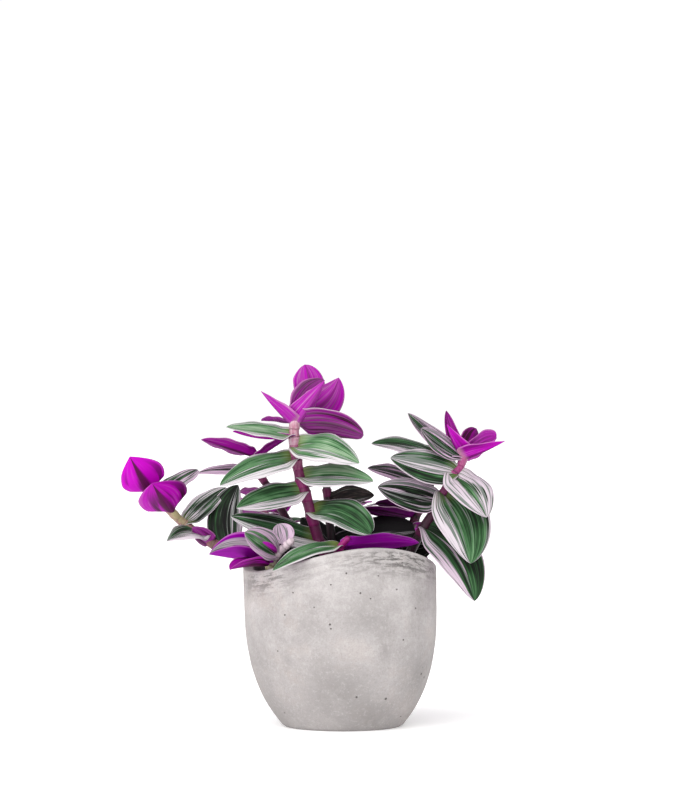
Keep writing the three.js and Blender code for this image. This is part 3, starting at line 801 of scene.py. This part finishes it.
STEMS = [dict(
    name="a", radius=4.4, fresh=(0.26, 1.15), blush=(0.22, 0.0), crown_at=215.5,
    path=[(-9, -6, 104), (-16, -9, 129), (-22, -12, 151), (-27, -12, 168), (-32, -12, 185),
          (-35, -12, 204), (-35, -12, 219), (-33, -8, 231)],
    leaves=[
        leaf(124, (-62, 4, 142), 24, (0, -8, 5), "dark", bow=2),
        leaf(134, (-80, -38, 153), 24, (0, -8, 6), "a13", bow=0.5),
        leaf(154, (20, -46, 141), 29, (2, -8, 6), "a12", bow=9, sweep=-3, fall=0.5),
        leaf(170, (-76, -36, 159), 25, (0, -7, 6), "a11", bow=3),
        leaf(180, (22, -36, 178), 25, (0, -7, 7), "a10", bow=4, curl=-20),
        leaf(193, (-88, -34, 175), 27, (0, -6, 8), "a9", bow=5, curl=-20),
        leaf(202, (12, -38, 191), 29, (1, -8, 6), "a8", bow=8, curl=-30),
        leaf(209.8, (-80, -4, 214), 13, (0, 5, 8), "t8", bow=-3.5, fold=45, rise=0.8),
        leaf(209.5, (-84, -22, 217), 22, (0, -4.5, 8), "t7", bow=1, curl=-10),
    ],
    crown=[
        leaf(219, (15, -20, 211), 28, (2, 7, 7), "t5", bow=5, sweep=2, rise=0.35, fall=0.45),
        leaf(219, (-60, 16, 222), 14, (0, 5, 9), "bright", bow=1, fold=25),
        leaf(216.5, (-59, -16, 243), 22, (6, 2, 6), "t4", bow=-1, fold=45, curl=5, rise=0.35, fall=1),
        leaf(216.5, (-13, -24, 251), 25, (-3, 8, 4), "t4", bow=-2, fold=40, curl=10, rise=0.3, fall=1),
        leaf(220, (-14, 2, 252), 32, (-4, 8, 3), "t2b", curl=-20, rise=0.8, fall=0.8),
        leaf(225, (-3, -8, 253), 34, (-5, 8, 3), "t2", bow=-2, sweep=-7, fold=20, curl=-30, rise=0.7,
             fall=0.85),
        leaf(229, (-28, 10, 263), 27, (-2, 8, 3), "t2", sweep=-7, curl=-20, rise=1.1, fall=0.6),
    ],
), dict(
    name="b", radius=3.6, fresh=(0.05, 0.2),
    path=[(-4, 14, 104), (-8, 16, 134), (-11, 19, 160), (-12, 24, 174)],
    leaves=[
        leaf(127, (-31, 36, 150), 20, (0, -8, 3), "dark"),
        leaf(124, (6, 36, 148), 22, (0, -8, 3), "dark"),
        leaf(128, (53, 4, 141), 36, (0, -6, 6), "h5", bow=4, fall=0.4),
        leaf(155, (17, 30, 161), 15, (0, 3, 9), "dry", bow=5),
        leaf(161, (23, 16, 167), 20, (0, -7, 6), "b1", bow=4),
        leaf(171, (-30, 68, 174), 24, (-3, 3, 9), "plain", bow=5),
    ],
), dict(
    name="c", radius=3.4, fresh=(0.15, 0.5),
    path=[(-23, 20, 104), (-33, 22, 130), (-43, 24, 152), (-54, 25, 171), (-62, 25, 184), (-66, 25, 198)],
    leaves=[
        leaf(119, (-70, 5, 132), 26, (0, -8, 4), "dark", bow=2),
        leaf(143, (-67, 40, 139), 24, (0, -5, 8), "shaded", bow=5),
        leaf(168, (-77, 60, 168), 18, (0, 6, 6), "dusky"),
        leaf(182, (-108, 28, 183), 15, (0, -5, 8), "k1", bow=4),
        leaf(193, (-38, 34, 211), 18, (-3, 3, 9), "c1", fold=35),
        leaf(195, (-104, 14, 208), 23, (0, 4, 9), "c1", fold=20, curl=-10),
    ],
), dict(
    name="d", radius=3.8, fresh=(0.3, 0.9), lime=(0.0, 1.3), crown_at=151,
    path=[(-36, -4, 104), (-59, -10, 123), (-77, -14, 128), (-93, -14, 132), (-105, -14, 140),
          (-116, -14, 148), (-124, -18, 156), (-132, -22, 164), (-139, -26, 170)],
    leaves=[
        leaf(129, (-76, -6, 175), 27, (-2, -9, 2), "l1", bow=2, sweep=-6),
        leaf(132, (-108, -28, 145), 13, (-4, 6, 5), "t2b"),
        leaf(137, (-126, -34, 135), 24, (0, -5, 8), "d5", bow=6, fall=0.9),
        leaf(147, (-85, 0, 173), 18, (1, -7, 6), "d4", bow=3),
    ],
    crown=[
        leaf(154, (-135, -56, 177), 40, (-3, 6, 7), "d2", bow=-2, fold=20, curl=10, rise=0.75, fall=0.95),
        leaf(166, (-106, 4, 186), 20, (-3, -6, 6), "d3", sweep=-2, fall=0.45),
        leaf(168, (-152, -42, 196), 36, (-3, 6, 7), "d1", bow=-3, fold=20, curl=10, rise=0.75, fall=0.95),
    ],
), dict(
    name="e", radius=3.3, bands=4.2, fresh=(1.0, 1.1), lime=(1.1, -6.5), crown_at=124,
    path=[(-50, -29, 104), (-52, -31, 116), (-49, -35, 123), (-43, -40, 130), (-35, -44, 137)],
    leaves=[
        leaf(117.5, (-79, -76, 117), 20, (0, 1, 9), "e5", bow=1, fold=60, rise=0.8),
        leaf(119, (-95, -48, 126.5), 42, (0, -6, 8), "e1", fold=72, curl=-5, rise=0.75),
    ],
    crown=[
        leaf(126, (-56, -76, 136), 8, (0, -5, 9), "bright", fold=70, curl=30),
        leaf(125, (-69, -68, 143), 24, (0, -8, 2), "e2", bow=3, fold=20, curl=30, rise=1, fall=0.55),
        leaf(132, (-45, -38, 148), 18, (2, -8, 2), "e3", fold=25, curl=10, rise=0.8, fall=0.6),
    ],
), dict(
    name="f", radius=2.8, fresh=(0.6, 0.7), blush=(0.9, 0.9),
    path=[(-8, -30, 104), (-6, -36, 120), (-3, -39, 129), (1, -41, 134.5), (5, -42, 139)],
    leaves=[
        leaf(131, (-49, -74, 116), 17, (0, -5, 9), "f1", bow=6.5),
        leaf(131.5, (55, -18, 133.5), 22, (0, 6, 7), "h1", bow=2),
    ],
), dict(
    name="g", radius=3.8, fresh=(0.0, 1.0), blush=(0.0, 0.85), crown_at=189,
    path=[(40, -2, 104), (50, -6, 128), (59, -10, 145), (68, -14, 159), (73, -18, 170),
          (80, -20, 182), (85, -20, 189), (88, -20, 199)],
    leaves=[
        leaf(144, (94, -44, 93), 35, (2, -8, 5), "g12", bow=6, sweep=-7),
        leaf(163, (25, -32, 174), 26, (0, -8, 4), "g10"),
        leaf(169, (91, -50, 120), 40, (1, -9, 5), "g9", bow=6, sweep=-5),
        leaf(181, (102, -56, 153), 32, (2, -8, 6), "g6", bow=5, sweep=-1),
        leaf(184, (34, -40, 195), 27, (1, -8, 4), "g7", bow=1, sweep=-1),
    ],
    crown=[
        leaf(193, (116, -34, 207), 24, (-2, 3, 9), "bright", bow=-1, fold=50, rise=0.3, fall=1),
        leaf(193.5, (56, -33, 216), 17, (2, -8, 5), "g4", bow=-1, rise=0.8),
        leaf(195, (47, -22, 227), 17, (3, -7, 5), "g4", bow=-4, fold=25),
        leaf(195, (112, 0, 209), 24, (-1, 6, 5), "magenta", sweep=2, fold=20, fall=0.5),
        leaf(196, (97, -8, 216), 18, (-2, 8, 4), "dusky", fold=25, fall=0.5),
        leaf(195, (75, -30, 219), 23, (5, 3, 6), "bright", bow=-2, fold=30, curl=20, rise=0.3, fall=1),
        leaf(196, (75, -12, 229), 11, (3, 6, 2), "dusky", sweep=2),
    ],
), dict(
    name="h", radius=3.2, fresh=(0.0, 0.3),
    path=[(33, 16, 104), (42, 22, 127), (50, 26, 143), (60, 26, 163), (69, 22, 187), (72, 20, 200)],
    leaves=[
        leaf(142, (99, 58, 128), 25, (2, 2, 9), "striped", bow=7),
        leaf(150, (14, 8, 158), 18, (0, 5, 8), "h4"),
        leaf(157, (24, 30, 161), 22, (0, 5, 8), "h4"),
        leaf(165, (95, 64, 160), 25, (2, 2, 9), "plain", bow=6),
        leaf(172, (18, 8, 187), 26, (0, -5, 8), "h3", bow=3),
        leaf(184, (60, 74, 182), 22, (0, 3, 9), "striped", bow=5),
        leaf(194, (21, 4, 205), 25, (0, -5, 8), "g8", bow=4),
    ],
), dict(
    name="j", radius=3.4, fresh=(0.2, 0.6), crown_at=151,
    path=[(-26, 38, 104), (-31, 44, 122), (-37, 50, 137), (-46, 64, 146), (-56, 82, 149), (-62, 96, 153)],
    leaves=[
        leaf(134, (-82, 56, 128), 24, (-2, 3, 9), "striped", bow=7),
        leaf(142, (-20, 98, 140), 24, (2, 4, 8), "plain", bow=7),
        leaf(145.5, (-96, 82, 148), 24, (-2, 3, 9), "a9", bow=6),
    ],
    crown=[
        leaf(152, (-40, 118, 166), 22, (3, -3, 8), "dusky", bow=-3, fold=25),
        leaf(152, (-84, 118, 164), 22, (3, -5, 8), "magenta", bow=-3, fold=25),
    ],
), dict(
    name="k", radius=3.2, fresh=(0.2, 0.6), crown_at=133.3,
    path=[(22, 38, 104), (27, 46, 118), (33, 57, 127), (41, 72, 131), (49, 88, 133), (54, 98, 137)],
    leaves=[
        leaf(112, (68, 12, 130), 28, (0, -7, 5), "dark"),
        leaf(125, (64, 76, 114), 24, (3, 2, 8), "plain", bow=7),
        leaf(128, (8, 96, 124), 22, (-2, 4, 8), "striped", bow=6),
        leaf(131, (88, 84, 127), 23, (3, 3, 8), "g7", bow=6),
    ],
    crown=[
        leaf(136, (28, 118, 143), 20, (3, -3, 8), "magenta", bow=-3, fold=25),
        leaf(136.3, (70, 124, 147), 20, (-3, -5, 8), "bright", bow=-3, fold=25),
    ],
), dict(
    name="l", radius=3.2, fresh=(0.2, 0.6), crown_at=153.5,
    path=[(-1, 46, 104), (-1, 52, 126), (0, 62, 142), (2, 76, 151), (4, 90, 154), (6, 102, 158)],
    leaves=[
        leaf(139, (34, 74, 158), 22, (0, 2, 9), "striped", bow=3),
        leaf(146, (-28, 96, 161), 24, (-2, 2, 9), "plain", bow=5),
        leaf(150, (43, 92, 160), 21, (1, 2, 9), "g9", bow=3),
    ],
    crown=[
        leaf(157, (-6, 132, 159), 20, (3, -4, 8), "bright", bow=-2, fold=25),
        leaf(157.5, (20, 134, 160), 20, (-3, -4, 8), "magenta", bow=-2, fold=25),
    ],
)]

ROOT_DEPTH = 88.0
ROOT_RUN = 6.0
STEM_TAPER = 0.78
STEM_SIDES = 20
BLADE_TIP = 0.15
BLADE_ROOT = 0.05
BLADE_RISE = 0.55
BLADE_FALL = 0.72
BLADE_FOLD = 15.0
BLADE_CURL = -25.0
BASE_FOLD = 60.0
BASE_RUN = 0.2
ROWS_ALONG = 34
ROWS_ACROSS = 19
RIDGE_ROUND = 0.14  # share of the half-width in which the fold opens from a round midrib
ACROSS_STEPS = 80
BLADE_HALF = 0.4  # half the thickness at the midrib, which thins to the margin and to the tip
MARGIN_THINNER = 0.2
TIP_THINNER = 0.12
MARGIN_WAVE = 0.55
WAVE_WIDTH = 24  # of a leaf with the full wave
WAVE_COUNT = (1.6, 2.8)
WAVE_START = (0, 6.28)
CURVE_STEPS = 120
CURVE_SIGHT = 0.4  # millimetres each way in which a curve's direction is taken


class Curve:
    """The centripetal Catmull-Rom curve through points, measured along its length."""

    def __init__(self, points):
        points = np.array(points, float)
        before = 2 * points[0] - points[1]
        after = 2 * points[-1] - points[-2]
        points = np.concatenate([[before], points, [after]])
        gaps = np.linalg.norm(np.diff(points, axis=0), axis=1) ** 0.5
        samples = []
        for i in range(1, len(points) - 2):
            p0, p1, p2, p3 = points[i - 1:i + 3]
            d0, d1, d2 = gaps[i - 1:i + 2]
            m1 = ((p1 - p0) / d0 - (p2 - p0) / (d0 + d1) + (p2 - p1) / d1) * d1
            m2 = ((p2 - p1) / d1 - (p3 - p1) / (d1 + d2) + (p3 - p2) / d2) * d1
            t = np.linspace(0, 1, CURVE_STEPS + 1)[:, None]
            bend = -3 * p1 + 3 * p2 - 2 * m1 - m2
            curve = p1 + m1 * t + bend * t ** 2 + (2 * p1 - 2 * p2 + m1 + m2) * t ** 3
            samples.append(curve if i == 1 else curve[1:])
        self.points = np.concatenate(samples)
        steps = np.linalg.norm(np.diff(self.points, axis=0), axis=1)
        self.at = np.concatenate([[0], np.cumsum(steps)])
        self.length = self.at[-1]

    def point(self, share):
        return np.array([np.interp(share * self.length, self.at, self.points[:, i]) for i in range(3)])

    def along(self, share):
        step = CURVE_SIGHT / self.length
        return unit(self.point(min(share + step, 1.0)) - self.point(max(share - step, 0.0)))

    def share_at(self, height):
        low, high = 0.0, 1.0
        while high - low > 1e-4:
            middle = (low + high) / 2
            if self.point(middle)[2] < height:
                low = middle
            else:
                high = middle
        return low


def outline(t, rise, fall):
    widest = max((rise - fall * BLADE_ROOT) / (rise + fall), 0.0)
    peak = (widest + BLADE_ROOT) ** rise * (1 - widest) ** fall
    return (t + BLADE_ROOT) ** rise * (1 - t) ** fall / peak


def running_sum(values):
    """The sum along each row from 0 at its start, over the number of steps."""
    values[:, 0] = 0
    return np.cumsum(values, axis=1) / ACROSS_STEPS


def blade(shape, base, form, seed):
    """One leaf: two faces that meet in a thin margin, curved as in the CAD model but finer."""
    rng = random.Random(seed)
    look = {**LOOK_DEFAULTS, **LOOKS[form["look"]]}
    tip = np.array(form["tip"], float)
    chord = unit(tip - base)
    face = np.array(form["face"], float)
    up = unit(face - chord * (face @ chord))
    side = np.cross(chord, up)
    bend = (base + tip) / 2 + 2 * form.get("bow", 0) * up + 2 * form.get("sweep", 0) * side
    u = np.linspace(0, 1, ROWS_ALONG)
    # The rows lie closer together at the leaf's two ends.
    t = (0.55 * u + 0.45 * (1 - np.cos(math.pi * u)) / 2)[:, None]
    centre = (1 - t) ** 2 * base + 2 * t * (1 - t) * bend + t ** 2 * tip
    along = unit((1 - t) * (bend - base) + t * (tip - bend))
    normal = unit(up - along * (along @ up)[:, None])
    across = np.cross(along, normal)
    shares = outline(t, form.get("rise", BLADE_RISE), form.get("fall", BLADE_FALL))
    half = np.maximum(form["width"] / 2 * shares, BLADE_TIP)
    opening = form.get("fold", BLADE_FOLD) - BASE_FOLD
    fold = math.radians(BASE_FOLD) + np.radians(opening) * ease(t / BASE_RUN)
    curl = math.radians(form.get("curl", BLADE_CURL))
    s = np.linspace(-1, 1, ROWS_ACROSS)
    reach = np.linspace(0, 1, ACROSS_STEPS + 1)
    angles = (fold + curl * reach) * ease(reach / RIDGE_ROUND)
    pick = np.rint(np.abs(s) * ACROSS_STEPS).astype(int)
    out = half * running_sum(np.cos(angles))[:, pick] * np.sign(s)
    lift = half * running_sum(np.sin(angles))[:, pick]
    angle = angles[:, pick]
    points = centre[:, None] + across[:, None] * out[..., None] + normal[:, None] * lift[..., None]
    normals = (normal[:, None] * np.cos(angle)[..., None]
               - across[:, None] * (np.sign(s) * np.sin(angle))[..., None])
    starts = np.array([rng.uniform(*WAVE_START), rng.uniform(*WAVE_START)])
    counts = np.array([rng.uniform(*WAVE_COUNT), rng.uniform(*WAVE_COUNT)])
    right = (s > 0).astype(int)
    wave = np.sin(2 * math.pi * counts[right] * t + starts[right])
    wave = wave * np.abs(s) ** 3 * MARGIN_WAVE * np.minimum(form["width"] / WAVE_WIDTH, 1) * 4 * t * (1 - t)
    points = points + normals * wave[..., None]
    thick = BLADE_HALF - MARGIN_THINNER * np.abs(s) ** 4 - TIP_THINNER * t
    upper = points + normals * thick[..., None]
    lower = points - normals * thick[..., None]
    rings = np.concatenate([upper, lower[:, ::-1]], axis=1)
    count = 2 * ROWS_ACROSS
    faces = ring_faces(ROWS_ALONG, count)
    kinds = [0 if j < ROWS_ACROSS or j == count - 1 else 1 for j in range(count)] * (ROWS_ALONG - 1)
    last = (ROWS_ALONG - 1) * count
    for j in range(ROWS_ACROSS - 1):
        faces.append((j + 1, j, count - 1 - j, count - 2 - j))
        faces.append((last + j, last + j + 1, last + count - 2 - j, last + count - 1 - j))
        kinds += [0, 0]
    grid_s = np.broadcast_to(np.concatenate([s, s[::-1]]), (ROWS_ALONG, count))
    grid_t = np.broadcast_to(t, (ROWS_ALONG, count))
    pale = np.interp(grid_s, np.linspace(-1, 1, len(look["pale"])), np.array(look["pale"]) / 100)
    # A partly young leaf is magenta along its margins.
    young = look["young"] + 0.9 * (look["young"] > 0) * ease((np.abs(grid_s) - 0.7) / 0.25)
    own = {**look, "pale": pale, "young": young, "seed": rng.uniform(0, 40)}
    shape.add(rings, faces, kinds, across=grid_s, along=grid_t, **own)


def tube(shape, stations, **values):
    """A round skin through (point, direction, radius) stations, closed at both ends."""
    points = []
    for point, along, radius in stations:
        first = unit(np.array([1.0, 0, 0]) - along * along[0])
        second = np.cross(along, first)
        turns = turns_of(STEM_SIDES)[:, None]
        points.append(point + radius * (np.cos(turns) * first + np.sin(turns) * second))
    points = np.concatenate(points)
    faces = ring_faces(len(stations), STEM_SIDES)
    faces.append(tuple(range(STEM_SIDES))[::-1])
    faces.append(tuple(len(points) - STEM_SIDES + j for j in range(STEM_SIDES)))
    spread = {key: np.repeat(value, STEM_SIDES) for key, value in values.items()}
    shape.add(points, faces, [2] * len(faces), **spread)


NODE_SWELL = 0.14
NODE_REACH = 2.2
NODE_LINE = 0.7
STALK_STEP = 0.9
SKIN_TURN = 3.2
PARTING = 0.03  # between a stem and its crown
TIP_ROUND = 2.6
TIP_LEAST = 0.02
BAND_WIDTH = 0.9
BAND_STRENGTH = 0.55
SHEATH_LENGTH = 7.5
SHEATH_SPREAD = (0.75, 1.15)
SHEATH_RINGS = 7
SHEATH_GAP = 0.12
SHEATH_FLARE = 0.75
SHEATH_FRESH = 0.12
SHEATH_BLUSH = (0.1, 0.4)


def stem_radius(stem, share):
    return stem["radius"] * (1 + (STEM_TAPER - 1) * share)


def stem_skin_values(stem, shares):
    """The values of a stem's skin, which turn late from those of its foot to those of its top."""
    values = {}
    for key in ("fresh", "blush", "lime"):
        old, new = stem.get(key, (0.0, 0.0))
        values[key] = old + (new - old) * np.array(shares) ** SKIN_TURN
    return values


def stalk(shape, stem, curve, low, high, leaves, foot):
    """A stem between two shares of its curve, a little thicker and with a dark line at each leaf."""
    shares = list(np.linspace(low, high, int((high - low) * curve.length / STALK_STEP)))
    joints = [curve.share_at(form["at"]) for form in leaves]
    stations, rings = [], []
    for share in shares:
        apart = min(abs(share - joint) for joint in joints) * curve.length
        swell = 1 + NODE_SWELL * math.exp(-(apart / NODE_REACH) ** 2)
        to_tip = min((1 - share) * curve.length / TIP_ROUND, 1.0)
        rounded = math.sqrt(max(1 - (1 - to_tip) ** 2, TIP_LEAST))
        radius = stem_radius(stem, share) * rounded * swell
        stations.append((curve.point(share), curve.along(share), radius))
        at_node = foot and apart < NODE_LINE
        banded = "bands" in stem and share * curve.length % stem["bands"] < BAND_WIDTH
        rings.append(max(1.0 * at_node, BAND_STRENGTH * banded))
    if foot:
        x, y = stem["path"][0][:2]
        root = np.array([x, y, ROOT_DEPTH + CLEARANCE])
        stations.insert(0, (root, np.array([0, 0, 1.0]), stem["radius"]))
        rings.insert(0, 0.0)
        shares.insert(0, 0.0)
    tube(shape, stations, ring=np.array(rings), **stem_skin_values(stem, shares))


def sheath(shape, stem, curve, form, seed):
    """The sleeve at a leaf's base, which wraps the stem below it and opens towards the leaf."""
    rng = random.Random(seed)
    top = curve.share_at(form["at"])
    length = rng.uniform(*SHEATH_SPREAD) * SHEATH_LENGTH / curve.length
    stations = []
    for k in np.linspace(0, 1, SHEATH_RINGS):
        share = max(top - length * (1 - k), 0.0)
        radius = stem_radius(stem, share) + SHEATH_GAP + SHEATH_FLARE * k ** 2
        stations.append((curve.point(share), curve.along(share), radius))
    values = stem_skin_values(stem, [top] * SHEATH_RINGS)
    values["fresh"] += SHEATH_FRESH
    values["blush"] += np.linspace(rng.uniform(*SHEATH_BLUSH), SHEATH_BLUSH[0], SHEATH_RINGS)
    tube(shape, stations, **values)


LEAF_MATERIALS = [LEAF_TOP, LEAF_BACK, STEM_SKIN]


def leafy_stem(number, stem):
    (x, y, z), *rest = stem["path"]
    curve = Curve([(x, y, z), (x, y, z + ROOT_RUN), *rest])
    parting = curve.share_at(stem["crown_at"]) if "crown" in stem else 1.0
    groups = [("stem", "foliage", stem["leaves"], 0.0, parting)]
    if "crown" in stem:
        groups.append(("crown", "young_foliage", stem["crown"], parting + PARTING / curve.length, 1.0))
    for kind, slot, leaves, low, high in groups:
        shape = Shape()
        stalk(shape, stem, curve, low, high, leaves, foot=kind == "stem")
        for i, form in enumerate(leaves):
            seed = 1000 * number + 10 * i + (kind == "crown")
            blade(shape, curve.point(curve.share_at(form["at"])), form, seed)
            if kind == "stem":
                sheath(shape, stem, curve, form, seed)
        name = f"{kind}_{stem['name']}"
        shape.make(f"{name}_fine", LEAF_MATERIALS, slot, name)


pot()
soil()
soil_crumbs()
for stem_number, plant_stem in enumerate(STEMS):
    leafy_stem(stem_number, plant_stem)
